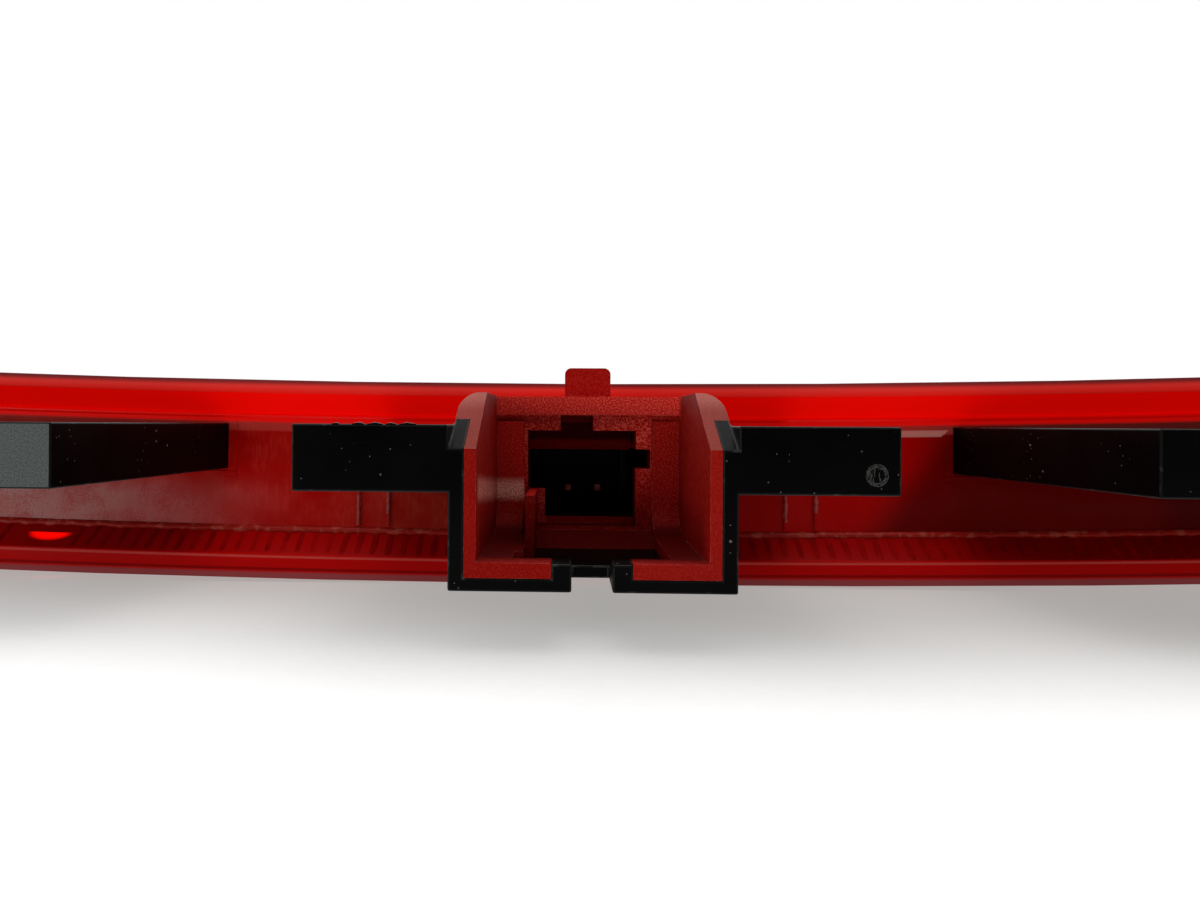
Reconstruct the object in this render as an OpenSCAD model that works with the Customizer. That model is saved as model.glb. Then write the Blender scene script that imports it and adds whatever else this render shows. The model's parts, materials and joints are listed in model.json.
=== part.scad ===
// Third brake light: a slim curved lamp with a moulded connector shroud at
// its back.  Millimetres.  +X runs along the lamp, +Y points out of the car
// through the lens, +Z is up.  The origin lies midway between the two
// fixing studs, on the plane that their bosses seat against.

/* [Lamp body] */
// Straight-line length between the rounded ends of the lens
lamp_length = 360; // [350:10:440]
// Radius of the upward sweep of the ends, seen from behind
arch_radius = 1750; // [1500:50:2100]
// Radius of the backward sweep of the ends, seen from above
plan_radius = 2600; // [2200:100:5000]
// Distance from the boss seats to the back plate at the middle of the lamp
seat_to_back = 8; // [7:0.5:10]

/* [Lens] */
// Height of the lens
lens_height = 17; // [16.5:0.5:20]
// Depth of the lens, from its rear rim to its crown
lens_depth = 17.5; // [17.5:0.5:22]
// How far the rim stands behind the back plate
rim_overhang = 2.5; // [2:0.25:2.5]
// How far the skirt flares outwards between the weld and the rim
skirt_flare = 2.15; // [1.65:0.05:2.2]

/* [Housing] */
// Height of the back plate, and of the lens opening that it closes
plate_height = 9.6; // [9.4:0.1:10]
// Thickness of the back plate
plate_thickness = 2.2; // [2:0.1:2.4]
// Wall of the tray behind the lens
tray_wall = 1.2; // [1:0.1:1.2]

/* [Fins and shroud] */
// How far the fins and the shroud stand behind the back plate
fin_depth = 25; // [22:0.5:28]
// Thickness of the fins
fin_thickness = 4; // [3.5:0.1:4.2]
// Distance from the middle to the outer end of the inner fins
inner_fin_end = 17.8; // [15:0.2:22]
// Distance from the middle to the inner end of the outer fins
outer_fin_start = 32; // [28:0.5:36]
// Length of each outer fin
outer_fin_length = 28; // [20:1:34]
// Outside width of the connector shroud
shroud_width = 17; // [17:0.1:18]
// Thickness of the black skin round the shroud
skin = 0.95; // [0.85:0.05:1]

/* [Fixing] */
// Distance between the two fixing studs
stud_spacing = 250; // [240:1:255]
// Diameter of the studs
stud_diameter = 5; // [4:1:5]
// How far the studs stand out of their bosses
stud_reach = 14; // [10:1:18]
// Distance between the two locating pins
locator_spacing = 200; // [180:5:210]
// Diameter of the locating pins
locator_diameter = 4; // [3:0.5:4.5]

/* [Electrics] */
// Number of light-emitting diodes, an even number
led_count = 16; // [12:2:16]
// Distance between neighbouring diodes
led_pitch = 20; // [19.5:0.5:20]
// Distance between the two connector pins
pin_pitch = 2.5; // [2.5:0.04:2.54]

/* [Hidden] */
$fn = 48;
sweep_fn = 256;
tiny = 0.01;

// The sweep: one circle that rises by the arch and falls back by the plan.
lean = atan(arch_radius / plan_radius);
sweep_radius = 1 / norm([1 / arch_radius, 1 / plan_radius]);
sweep_centre = sweep_radius * [0, -sin(lean), cos(lean)];
function angle_at(x) = asin(x / sweep_radius);
function rise(x) = sweep_radius * (1 - cos(angle_at(x)));

// Heights, measured from the plane of the fin tops
lens_mid = -5;
plate_mid = -4.5;
lens_half = lens_height / 2;
plate_half = plate_height / 2;
lens_end = angle_at(lamp_length / 2);
skirt_end = angle_at(lamp_length / 2 - 2.8);
opening_end = angle_at(lamp_length / 2 - 5);
tray_end = angle_at(lamp_length / 2 - 5 - tray_wall);

// Depths, measured from the rear face of the back plate
rim_y = -rim_overhang;
weld_y = 0.5;
cavity_y = rim_y + lens_depth - 2.5;
tray_front = 5.6;
board_back = 4.6;
board_front = 5.6;
reflector_front = 11;
key_depth = 0.6;
gate_half = 3;

// Shroud
shroud_half = shroud_width / 2;
liner = 0.7;
liner_half = shroud_half - skin;
mouth_half = liner_half - liner;
shroud_floor = -9.8;
liner_floor = -9;
mouth_floor = -8.1;
shroud_top = 2.15;
skin_top = 0.35;
corner_round = 1.2;
rear_y = -fin_depth;
chamfer_low = -1.4;
chamfer_run = 6.4;
edging_depth = 2;
slot_depth = 4.9;
slot_half = 1.2;
lip_half = 2.4;

// Connector block: its proud pads, its middle face and the guide rib
pad_y = rear_y + 14.7;
block_y = pad_y + 0.4;
block_end = -2.6;
pad_inner = 4.86;
pad_top = 0.28;
lintel_low = 0.77;
sill_y = pad_y - 2.2;
rib_y = rear_y + 8;

// Connector cavity and its pins
cavity_left = -4.55;
cavity_right = 3.66;
cavity_top = -0.4;
cavity_step = -5;
cavity_floor = -7.2;
cavity_end = 0.5;
ceiling_step = cavity_end - 4;
lower_left = -3.9;
lower_floor = -7.7;
lower_depth = 2.5;
inner_left = -3.3;
keyway_right = 4.75;
keyway_z = [-3.3, -1.8];
notch_x = [-2.07, 0.4];
header_x = [-4, 3];
header_z = [-6.9, -2.1];
header_flange = 1;
rib_x = [-4.35, -3.75];
rib_top = -4.8;
scoop = 2.6;
ledge_y = rear_y + 4.5;
sill_top = -7.95;
pin_x = -0.25;
pin_z = -5.3;
pin_side = 0.64;
pin_tip = -2;

// Outer fins
fin_root = 1;
fin_draft = 0.35;

led_size = [3.5, 1.9, 2.8];

red = [0.62, 0.03, 0.03];
clear_red = [0.8, 0.02, 0.02, 0.7];
black = [0.05, 0.05, 0.055];
board_green = [0.1, 0.35, 0.2];
steel = [0.7, 0.7, 0.72];

function two(n) = n < 10 ? str("0", n) : str(n);
function led_name(i) = str("led_", two(i));
function led_x(i) = (i - (led_count + 1) / 2) * led_pitch;
resistor_x = [-80, -40, 40, 80];

// ---- placing along the sweep ------------------------------------------

// Moves the lamp's own frame to the row frame.
module lamp() translate([0, seat_to_back, 0]) children();

// Carries what is drawn at the middle of the lamp to angle a along it.
module at_angle(a)
    translate(sweep_centre) rotate([90 + lean, 0, 0]) rotate([0, 0, a])
        rotate([-90 - lean, 0, 0]) translate(-sweep_centre) children();

// Sweeps a section, drawn with Y to the right and Z up, between two angles.
module sweep(a1, a2)
    translate(sweep_centre) rotate([90 + lean, 0, 0])
        rotate_extrude(angle = a2 - a1, start = a1 - 90, $fn = sweep_fn)
            translate([sweep_radius, 0]) rotate(lean - 90) mirror([0, 1])
                children();

// Cuts the corner off an end of the lamp, between the end face and the face
// at distance reach from the middle line.  The round passes through both
// faces at a slant.
module corner_cut(reach, round) {
    difference() {
        translate([-round, reach - round]) square(round + 2);
        translate([-round, reach - round]) circle(1.05 * round);
    }
}

// Rounds an end of a swept bar as seen from above.
module crown_cuts(end, front, round)
    for (side = [0, 1]) mirror([side, 0, 0]) at_angle(end)
        translate([0, 0, -30]) linear_extrude(60) corner_cut(front, round);

// Rounds an end of a swept bar as seen from behind.
module rim_cuts(end, mid, half, round)
    for (side = [0, 1]) mirror([side, 0, 0]) at_angle(end)
        translate([0, -30, mid]) for (up = [0, 1]) mirror([0, 0, up])
            rotate([90, 0, 0]) mirror([0, 0, 1]) linear_extrude(60)
                corner_cut(half, round);

// ---- lens ---------------------------------------------------------------

// Outer section of the lens: half a superellipse, flat at the rim.
module lens_section() {
    power = 2.7;
    steps = 14;
    corner = function(s, v) (s < 0 ? -1 : 1) * pow(abs(s), 2 / power) * v;
    polygon([for (i = [-steps:steps])
        let (t = 90 * i / steps)
        [rim_y + corner(cos(t), lens_depth), corner(sin(t), lens_half)]]);
}

// Space in front of the weld, as far as the inside of the crown.
module chamber_section() {
    round = 2;
    front = cavity_y - round;
    top = plate_half - round;
    polygon(concat(
        [[weld_y - 0.5, -plate_half]],
        [for (t = [-90:15:0]) [front + round * cos(t), round * sin(t) - top]],
        [for (t = [0:15:90]) [front + round * cos(t), round * sin(t) + top]],
        [[weld_y - 0.5, plate_half]]));
}

// Height of the flared skirt's inside at depth y
function skirt_at(y) = plate_half + skirt_flare * (weld_y - y) / (weld_y - rim_y);

module skirt_section() polygon([
    [weld_y, -plate_half], [weld_y, plate_half],
    [rim_y - 1, skirt_at(rim_y - 1)], [rim_y - 1, -skirt_at(rim_y - 1)]]);

module outer_lens() color(clear_red) lamp() difference() {
    sweep(-lens_end, lens_end) translate([0, lens_mid]) lens_section();
    crown_cuts(lens_end, rim_y + lens_depth, 12);
    rim_cuts(lens_end, lens_mid, lens_half, 4);
    sweep(-skirt_end, skirt_end) translate([0, plate_mid]) skirt_section();
    difference() {
        sweep(-opening_end, opening_end) translate([0, plate_mid]) chamber_section();
        crown_cuts(opening_end, cavity_y, 9.5);
    }
    gate_recess();
}

// Shallow recess under the rear lip where the moulding gate is trimmed off.
module gate_recess()
    box([-gate_half, gate_half], [rim_y - 1, rim_y + 3.7],
        [lens_mid - lens_half - 1, lens_mid - lens_half + 0.65]);

// Welded plastic in the corner between the plate and the skirt, all round.
module weld_bead() color(red) lamp() {
    run = 0.5;
    end = angle_at(lamp_length / 2 - 4.7);
    difference() {
        sweep(-end, end) translate([0, plate_mid]) polygon([
            [weld_y, -plate_half], [weld_y, plate_half],
            [weld_y - run, skirt_at(weld_y - run)],
            [weld_y - run, -skirt_at(weld_y - run)]]);
        sweep(-opening_end, opening_end) translate([weld_y - 2, plate_mid - plate_half])
            square([4, plate_height]);
    }
}

// ---- rear housing ---------------------------------------------------------

module box(x, y, z)
    translate([x[0], y[0], z[0]])
        cube([x[1] - x[0], y[1] - y[0], z[1] - z[0]]);

// The space above and behind the sloping rear edges of the shroud's sides.
module shroud_bevel() {
    reach = 20;
    slope = (shroud_top - chamfer_low) / chamfer_run;
    translate([-reach, 0, 0]) rotate([90, 0, 90])
        linear_extrude(2 * reach)
            polygon([[rear_y - 1, chamfer_low - slope],
                     [rear_y + chamfer_run + 4, shroud_top + 4 * slope],
                     [rear_y - 1, shroud_top + 4 * slope]]);
}

// Outline of a side wall's red upper part, seen from behind
module wall_cap_outline() {
    outer = shroud_half - corner_round;
    height = shroud_top - skin_top;
    intersection() {
        translate([mouth_half, skin_top]) square([shroud_half - mouth_half, height]);
        union() {
            translate([mouth_half, skin_top]) square([outer - mouth_half, height]);
            translate([mouth_half, skin_top])
                square([shroud_half - mouth_half, height - corner_round]);
            translate([outer, shroud_top - corner_round]) circle(corner_round);
        }
    }
}

// Red sides and floor of the shroud, behind the connector block.
module liner_walls() {
    for (side = [0, 1]) mirror([side, 0, 0]) {
        box([mouth_half, liner_half], [rear_y, tiny], [liner_floor, skin_top]);
        translate([0, block_end, 0]) rotate([90, 0, 0])
            linear_extrude(block_end - rear_y) wall_cap_outline();
        box([lip_half, liner_half], [rear_y, rear_y + edging_depth],
            [liner_floor, mouth_floor]);
        box([pad_inner, liner_half], [rear_y, block_y], [liner_floor, mouth_floor]);
    }
}

// The connector cavity with its steps, keyway and notch.
module socket_space() {
    mouth = block_y - 1;
    box([cavity_left, cavity_right], [mouth, ceiling_step], [cavity_step, cavity_top]);
    box([cavity_left, cavity_right], [mouth, cavity_end], [cavity_step, -2]);
    box([lower_left, cavity_right], [mouth, block_y + lower_depth],
        [lower_floor, cavity_step + tiny]);
    box([inner_left, cavity_right], [mouth, cavity_end],
        [cavity_floor, cavity_step + tiny]);
    box([cavity_right - tiny, keyway_right], [mouth, cavity_end - 2], keyway_z);
    box(notch_x, [mouth, ceiling_step], [cavity_top - tiny, lintel_low]);
}

// Draws a side view, with Y to the right and Z up, between -half and half.
module across(half)
    translate([-half, 0, 0]) rotate([90, 0, 90]) linear_extrude(2 * half) children();

// Hollow round in the corner between a pad and the floor in front of it
module corner_scoop(width)
    rotate([90, 0, 90]) linear_extrude(width) polygon(concat(
        [[pad_y + tiny, mouth_floor - tiny], [pad_y + tiny, mouth_floor + scoop]],
        [for (t = [0:15:90])
            [pad_y - scoop * (1 - cos(t)), mouth_floor + scoop * (1 - sin(t))]],
        [[pad_y - scoop, mouth_floor - tiny]]));

// Solid block that holds the connector cavity.
module connector_block() difference() {
    union() {
        box([-liner_half, liner_half], [block_y, 1], [liner_floor, 0.3]);
        across(shroud_half - corner_round) polygon([
            [block_y, skin_top - 0.1], [block_y, shroud_top],
            [block_end, shroud_top], [-0.1, skin_top - 0.1]]);
        for (side = [0, 1]) mirror([side, 0, 0])
            box([pad_inner, liner_half], [pad_y, block_y + tiny], [liner_floor, pad_top]);
        for (side = [0, 1]) mirror([side, 0, 0]) translate([pad_inner, 0, 0])
            corner_scoop(liner_half - pad_inner);
        box([-mouth_half - tiny, mouth_half + tiny], [pad_y, block_y + tiny],
            [lintel_low, shroud_top]);
        across(pad_inner + tiny) polygon([
            [sill_y, liner_floor], [block_y + tiny, sill_top],
            [block_y + tiny, liner_floor]]);
        box(rib_x, [rib_y, block_y + tiny], [liner_floor, rib_top]);
        box([-pad_inner - tiny, rib_x[0] + tiny], [ledge_y, block_y + tiny],
            [liner_floor, mouth_floor]);
        locking_tab();
    }
    socket_space();
}

module locking_tab() {
    half = 1.77;
    round = 0.5;
    top = 4.44;
    thickness = 2;
    translate([0, pad_y + 1.8 + thickness, 0]) rotate([90, 0, 0])
        linear_extrude(thickness) {
            translate([-half, 0.4]) square([2 * half, top - round - 0.4]);
            translate([round - half, 0.4]) square([2 * (half - round), top - 0.4]);
            for (side = [-1, 1])
                translate([side * (half - round), top - round]) circle(round);
        }
}

module header_hole() box(header_x, [-1, plate_thickness + 1], header_z);

// Post of a heat stake with its formed head on the front of the board.
module heat_stake(x)
    at_angle(angle_at(x)) translate([0, 1, plate_mid]) rotate([-90, 0, 0]) {
        cylinder(d = 1.6, h = board_front - 1 + 0.5);
        translate([0, 0, board_front - 1]) cylinder(d1 = 2.8, d2 = 2, h = 0.7);
        cylinder(d = 3, h = board_back - 1);
    }

module plate_bar(end, front, half)
    sweep(-end, end) translate([0, plate_mid]) polygon([
        [0, -half], [0, half], [front, half], [front, -half]]);

module back_plate() {
    inner = plate_half - tray_wall;
    difference() {
        plate_bar(opening_end, tray_front, plate_half);
        sweep(-tray_end, tray_end) translate([plate_thickness, plate_mid - inner])
            square([tray_front, 2 * inner]);
    }
}

stake_x = [-140, -60, -20, 20, 60, 140];

// Low ribs that brace the plate below the inner fins
module plate_ribs()
    for (side = [-1, 1], x = [inner_fin_end - 0.5, inner_fin_end + 2.1])
        at_angle(angle_at(side * x)) translate([-0.15, -0.3, 0])
            box([0, 0.3], [0, 0.5], [-9.1, 0]);

module rear_housing() color(red) {
    difference() {
        union() {
            lamp() {
                difference() {
                    union() {
                        back_plate();
                        plate_ribs();
                        for (x = stake_x) heat_stake(x);
                    }
                    shell_keys();
                    for (side = [0, 1]) mirror([side, 0, 0]) outer_fin();
                }
                connector_block();
                difference() {
                    liner_walls();
                    shroud_bevel();
                }
            }
            for (side = [-1, 1]) {
                translate([side * stud_spacing / 2, 0, 0]) rotate([-90, 0, 0])
                    cylinder(d = 8.4, h = seat_to_back - 1.5);
                locator(side);
            }
        }
        lamp() {
            header_hole();
            vent_hole();
        }
        for (side = [-1, 1]) translate([side * stud_spacing / 2, 0, 0]) stud_hole();
    }
}

// Height of the plate's middle line at a distance x from the middle
function plate_line(x) = plate_mid + rise(x) * cos(lean);

// How far forward of the boss seats the plate's rear face is at that distance
function plate_back(x) = seat_to_back - rise(x) * sin(lean);

// Locating pin on a collar that stands just proud of the plate.
module locator(side) {
    x = locator_spacing / 2;
    shaft = seat_to_back + 2;
    collar = 4 + plate_back(x) - 0.7;
    translate([side * x, -4, plate_line(x)]) rotate([-90, 0, 0]) {
        translate([0, 0, 1]) cylinder(d = locator_diameter, h = shaft);
        cylinder(d1 = locator_diameter - 1.2, d2 = locator_diameter, h = 1);
        translate([0, 0, collar]) cylinder(d = locator_diameter + 2, h = shaft + 1 - collar);
    }
}

// ---- black overmoulding -----------------------------------------------------

// Where the black moulding keys into the back plate.
module shell_keys() for (side = [0, 1]) mirror([side, 0, 0]) {
    box([liner_half, shroud_half], [-1, key_depth], [liner_floor, 0]);
    box([shroud_half - tiny, inner_fin_end], [-1, key_depth], [-fin_thickness, 0]);
}

// Shallow ring that an ejector leaves in the rear face of a fin.
module ejector_ring()
    translate([inner_fin_end - 1.4, rear_y - 1, -2.8]) rotate([-90, 0, 0])
        difference() {
            cylinder(d = 1.25, h = 1.06);
            cylinder(d = 0.95, h = 1.06);
        }

module black_shell() color(black) lamp() difference() {
    union() {
        for (side = [0, 1]) mirror([side, 0, 0]) {
            box([liner_half, shroud_half], [rear_y, key_depth], [liner_floor, 0]);
            box([liner_half, shroud_half], [rear_y, -0.5], [-tiny, skin_top]);
            box([shroud_half - tiny, inner_fin_end], [rear_y, key_depth],
                [-fin_thickness, 0]);
            box([slot_half, lip_half], [rear_y, rear_y + edging_depth],
                [shroud_floor, mouth_floor - 0.05]);
        }
        box([-shroud_half, shroud_half], [rear_y, -0.6], [shroud_floor, liner_floor]);
    }
    box([-slot_half, slot_half], [rear_y - 1, rear_y + slot_depth], [-12, -7]);
    ejector_ring();
    intersection() {
        shroud_bevel();
        box([-shroud_half, shroud_half], [rear_y - 2, 0], [-9, 5]);
    }
}

// One outer fin, for +X. Its inner side has draft, so that it leaves the mould.
module outer_fin() {
    end = outer_fin_start + outer_fin_length;
    translate([0, 0, -fin_thickness]) linear_extrude(fin_thickness) polygon([
        [outer_fin_start + fin_draft, rear_y], [end, rear_y],
        [end, fin_root], [outer_fin_start - fin_draft, fin_root]]);
}

module outer_fin_right() color(black) lamp() outer_fin();
module outer_fin_left() color(black) lamp() mirror([1, 0, 0]) outer_fin();

// ---- electrics ----------------------------------------------------------------

function wider(range) = [range[0] - header_flange, range[1] + header_flange];

module pin_header() color(black) lamp() difference() {
    union() {
        box(header_x, [cavity_end, plate_thickness], header_z);
        box(wider(header_x), [plate_thickness, board_back - 0.05], wider(header_z));
    }
    for (side = [-1, 1]) pin(side);
}

module pin(side)
    translate([pin_x + side * pin_pitch / 2 - pin_side / 2, pin_tip, pin_z - pin_side / 2])
        cube([pin_side, board_front + 1 - pin_tip, pin_side]);

module terminal_pin_left() color(steel) lamp() pin(-1);
module terminal_pin_right() color(steel) lamp() pin(1);

module circuit_board() color(board_green) lamp() {
    end = angle_at(lamp_length / 2 - 15);
    half = plate_half - tray_wall - 0.1;
    difference() {
        sweep(-end, end) translate([board_back, plate_mid - half])
            square([board_front - board_back, 2 * half]);
        for (x = stake_x)
            at_angle(angle_at(x)) translate([0, 0, plate_mid]) rotate([-90, 0, 0])
                cylinder(d = 1.8, h = 10);
        for (side = [-1, 1])
            translate([pin_x + side * pin_pitch / 2, 0, pin_z])
                rotate([-90, 0, 0]) cylinder(d = 1, h = 10);
    }
}

// Puts a part, drawn about its own base, on the front of the board at x.
module on_board(x, z = 0)
    lamp() at_angle(angle_at(x)) translate([0, board_front, plate_mid + z]) children();

// A surface-mounted part: a plain body with its base on the board.
module chip(size) translate([-size[0] / 2, 0, -size[2] / 2]) cube(size);

// A diode package with a shallow round window in its face.
module led(i) on_board(led_x(i)) {
    color("white") difference() {
        chip(led_size);
        translate([0, led_size[1] - 0.4, 0]) rotate([-90, 0, 0])
            cylinder(d1 = 2, d2 = 2.4, h = 1);
    }
}

module resistor(i) color("dimgray") on_board(resistor_x[i - 1], 0) chip([3.2, 0.6, 1.6]);
module protection_diode() color("dimgray") on_board(0, 1.6) chip([4.3, 2, 2.6]);
module capacitor() color("tan") on_board(100, 0) chip([3.2, 1.6, 2.5]);

// Half of the reflector strip, with a cup for each diode that it covers.
module reflector(side) color("silver") lamp() {
    middle = 0.1;
    end = led_pitch * led_count / 2 + 2;
    half = plate_half - 0.15;
    wall_back = tray_front;
    difference() {
        sweep(side > 0 ? angle_at(middle) : -angle_at(end),
              side > 0 ? angle_at(end) : -angle_at(middle))
            translate([wall_back, plate_mid - half])
                square([reflector_front - wall_back, 2 * half]);
        for (i = [1:led_count / 2])
            at_angle(angle_at(side * (i - 0.5) * led_pitch))
                translate([0, wall_back - 0.5, plate_mid]) rotate([-90, 0, 0]) {
                    cylinder(d = 5, h = 5);
                    translate([0, 0, 2]) cylinder(d1 = 5, d2 = 8.8,
                        h = reflector_front - wall_back - 1.5 + tiny);
                }
        // a gap behind the cups for the small parts on the board
        sweep(-angle_at(end) - 1, angle_at(end) + 1)
            translate([wall_back - 1, plate_mid - 3.4]) square([3.2, 6.8]);
    }
}
module reflector_left() reflector(-1);
module reflector_right() reflector(1);

// ---- fixings --------------------------------------------------------------------

hex_across = 7;
stud_neck = stud_diameter + 0.8;
head_back = 4.7;
head_height = 2.3;

module hex_prism(across, h) cylinder(d = across / cos(30), h = h, $fn = 6);

// Stud with a hexagon head that sits in the plate from the inside.  Its neck
// fills the boss, and its threaded part starts at the seat.
module stud() rotate([-90, 0, 0]) {
    translate([0, 0, 0.8 - stud_reach])
        cylinder(d = stud_diameter, h = stud_reach - 0.8 + tiny);
    translate([0, 0, -stud_reach])
        cylinder(d1 = stud_diameter - 1.4, d2 = stud_diameter, h = 0.8 + tiny);
    cylinder(d = stud_neck, h = head_back + tiny);
    translate([0, 0, head_back]) rotate(30) hex_prism(hex_across, head_height);
}

module stud_hole() rotate([-90, 0, 0]) {
    translate([0, 0, -1]) cylinder(d = stud_neck, h = head_back + 2);
    translate([0, 0, head_back]) rotate(30) hex_prism(hex_across, 5);
}

module stud_left() color(steel) translate([-stud_spacing / 2, 0, 0]) stud();
module stud_right() color(steel) translate([stud_spacing / 2, 0, 0]) stud();

// Breather: a small round membrane over a hole in the back plate.
vent_x = 78;
module at_vent() at_angle(angle_at(vent_x)) translate([0, 0, plate_mid])
    rotate([-90, 0, 0]) children();
module vent_hole() at_vent() {
    translate([0, 0, -1]) cylinder(d = 7, h = 1.5);
    cylinder(d = 2, h = 5);
}
module vent_membrane() color("white") lamp() at_vent()
    translate([0, 0, 0.2]) cylinder(d = 6.8, h = 0.3);

// ---- the nodes --------------------------------------------------------------------

outer_lens();
rear_housing();
black_shell();
outer_fin_left();
outer_fin_right();
weld_bead();
pin_header();
terminal_pin_left();
terminal_pin_right();
circuit_board();
reflector_left();
reflector_right();
stud_left();
stud_right();
protection_diode();
capacitor();
vent_membrane();
for (i = [1:led_count]) led(i);
for (i = [1:len(resistor_x)])
    resistor(i);
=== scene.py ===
"""Looks of the third brake light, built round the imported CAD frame."""
import json
import math

import bmesh
import bpy
from mathutils import Matrix, Vector, noise


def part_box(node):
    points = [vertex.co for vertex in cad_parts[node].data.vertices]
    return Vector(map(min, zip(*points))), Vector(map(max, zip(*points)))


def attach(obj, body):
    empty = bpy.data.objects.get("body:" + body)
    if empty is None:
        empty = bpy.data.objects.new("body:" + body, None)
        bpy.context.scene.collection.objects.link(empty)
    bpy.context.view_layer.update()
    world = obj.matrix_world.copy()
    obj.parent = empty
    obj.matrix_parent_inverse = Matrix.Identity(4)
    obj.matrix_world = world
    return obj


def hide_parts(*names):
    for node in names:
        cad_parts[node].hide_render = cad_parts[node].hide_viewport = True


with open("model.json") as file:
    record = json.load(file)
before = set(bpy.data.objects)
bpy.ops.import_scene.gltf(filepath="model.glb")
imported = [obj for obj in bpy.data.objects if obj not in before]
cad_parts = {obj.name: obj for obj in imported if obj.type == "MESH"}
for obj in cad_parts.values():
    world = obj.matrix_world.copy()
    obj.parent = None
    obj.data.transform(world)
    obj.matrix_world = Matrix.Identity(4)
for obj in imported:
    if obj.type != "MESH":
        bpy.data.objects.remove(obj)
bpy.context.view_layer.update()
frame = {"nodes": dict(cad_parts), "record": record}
nodes = frame["nodes"]
scene = bpy.context.scene
MM = 0.001

# ---- the lamp's sweep, as in the CAD model ---------------------------------

ARCH_RADIUS = 1.75
PLAN_RADIUS = 2.6
SEAT_TO_BACK = 8 * MM
LEAN = math.atan(ARCH_RADIUS / PLAN_RADIUS)
SWEEP_RADIUS = 1 / math.hypot(1 / ARCH_RADIUS, 1 / PLAN_RADIUS)
SWEEP_CENTRE = SWEEP_RADIUS * Vector((0, -math.sin(LEAN), math.cos(LEAN)))
SWEEP_AXIS = Vector((0, -math.cos(LEAN), -math.sin(LEAN)))

# section of the lamp, in millimetres
PLATE_MID = -4.5
PLATE_HALF = 4.8
WELD_Y = 0.5
RIM_Y = -2.5
REAR_Y = -25
SKIRT_FLARE = 2.15
SKIRT_SLOPE = SKIRT_FLARE / (WELD_Y - RIM_Y)


def skirt_half(y):
    """Half height of the space inside the lens's skirt."""
    return PLATE_HALF + SKIRT_SLOPE * (WELD_Y - y)


def on_lamp(x, y, z):
    """Carries a point of the lamp's section, in millimetres, to x along the lamp."""
    turn = Matrix.Rotation(math.asin(x * MM / SWEEP_RADIUS), 3, SWEEP_AXIS)
    point = SWEEP_CENTRE + turn @ (Vector((0, y, z)) * MM - SWEEP_CENTRE)
    return point + Vector((0, SEAT_TO_BACK, 0))


def straight(x, y, z):
    """A point of the lamp's own frame that the sweep doesn't bend."""
    return Vector((x * MM, y * MM + SEAT_TO_BACK, z * MM))


# ---- material helpers -------------------------------------------------------

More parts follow.
